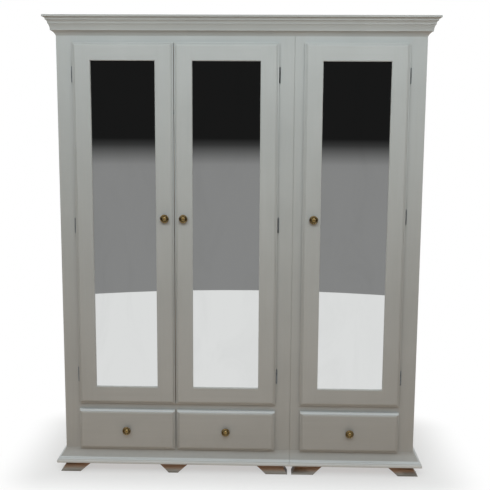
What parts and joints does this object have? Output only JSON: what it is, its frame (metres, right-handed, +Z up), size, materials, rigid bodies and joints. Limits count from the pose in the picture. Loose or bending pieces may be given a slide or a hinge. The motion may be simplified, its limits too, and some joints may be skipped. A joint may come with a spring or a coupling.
{
  "type": "armoire",
  "caption": "Painted triple armoire with mirrored doors over drawers, moulded cornice and base, and flared bracket feet.",
  "frame": {"origin": "on the floor, under the middle of the bounding box", "axes": "+Z up, -Y is the front with the doors, +X to the right as seen from the front"},
  "size_m": [1.686, 0.608, 2.04],
  "materials": {
    "painted_wood": "eggshell paint, pale warm grey",
    "pine": "waxed pine",
    "plywood": "raw birch ply",
    "hardboard": "raw hardboard",
    "mirror_glass": "silvered glass",
    "aged_brass": "antiqued, rubbed bright on the rims",
    "satin_steel": "dull satin steel",
    "zinc_steel": "zinc plate",
    "chromed_steel": "bright chrome plate"
  },
  "bodies": {
    "root": {"connector_bolts": "zinc_steel", "cornice_frame": "painted_wood", "cornice_moulding": "painted_wood", "double_back_boards": "pine", "double_base_moulding": "painted_wood", "double_bottom_panel": "pine", "double_drawer_deck": "pine", "double_face_frame": "painted_wood", "double_front_feet": "painted_wood", "double_left_side": "painted_wood", "double_right_side": "painted_wood", "double_top_panel": "pine", "drawer_divider": "pine", "drawer_runners": "pine", "frame_hinge_leaves": "satin_steel", "hanging_rails": "chromed_steel", "hat_shelves": "pine", "hinge_pins": "satin_steel", "magnetic_catches": "zinc_steel", "rail_sockets": "chromed_steel", "rear_feet": "pine", "single_back_boards": "pine", "single_base_moulding": "painted_wood", "single_bottom_panel": "pine", "single_drawer_deck": "pine", "single_face_frame": "painted_wood", "single_front_feet": "painted_wood", "single_left_side": "painted_wood", "single_right_side": "painted_wood", "single_top_panel": "pine"},
    "left_door": {"left_door_frame": "painted_wood", "left_door_hinge_leaves": "satin_steel", "left_door_knob": "aged_brass", "left_door_mirror": "mirror_glass", "left_door_mirror_backing": "hardboard", "left_door_strike_plate": "zinc_steel"},
    "middle_door": {"middle_door_frame": "painted_wood", "middle_door_hinge_leaves": "satin_steel", "middle_door_knob": "aged_brass", "middle_door_mirror": "mirror_glass", "middle_door_mirror_backing": "hardboard", "middle_door_strike_plate": "zinc_steel"},
    "right_door": {"right_door_frame": "painted_wood", "right_door_hinge_leaves": "satin_steel", "right_door_knob": "aged_brass", "right_door_mirror": "mirror_glass", "right_door_mirror_backing": "hardboard", "right_door_strike_plate": "zinc_steel"},
    "left_drawer": {"left_drawer_bottom": "plywood", "left_drawer_box": "pine", "left_drawer_front": "painted_wood", "left_drawer_knob": "aged_brass"},
    "middle_drawer": {"middle_drawer_bottom": "plywood", "middle_drawer_box": "pine", "middle_drawer_front": "painted_wood", "middle_drawer_knob": "aged_brass"},
    "right_drawer": {"right_drawer_bottom": "plywood", "right_drawer_box": "pine", "right_drawer_front": "painted_wood", "right_drawer_knob": "aged_brass"}
  },
  "joints": [
    {"name": "left_door_hinge", "type": "hinge", "parent": "root", "child": "left_door", "pos_m": [-0.7288, -0.2594, 1.126], "axis": [0, 0, -1], "range_deg": [0, 120]},
    {"name": "middle_door_hinge", "type": "hinge", "parent": "root", "child": "middle_door", "pos_m": [0.1688, -0.2594, 1.126], "axis": [0, 0, 1], "range_deg": [0, 110]},
    {"name": "right_door_hinge", "type": "hinge", "parent": "root", "child": "right_door", "pos_m": [0.7268, -0.2594, 1.126], "axis": [0, 0, 1], "range_deg": [0, 120]},
    {"name": "left_drawer_slide", "type": "slide", "parent": "root", "child": "left_drawer", "axis": [0, -1, 0], "range_m": [0, 0.38]},
    {"name": "middle_drawer_slide", "type": "slide", "parent": "root", "child": "middle_drawer", "axis": [0, -1, 0], "range_m": [0, 0.38]},
    {"name": "right_drawer_slide", "type": "slide", "parent": "root", "child": "right_drawer", "axis": [0, -1, 0], "range_m": [0, 0.38]}
  ]
}
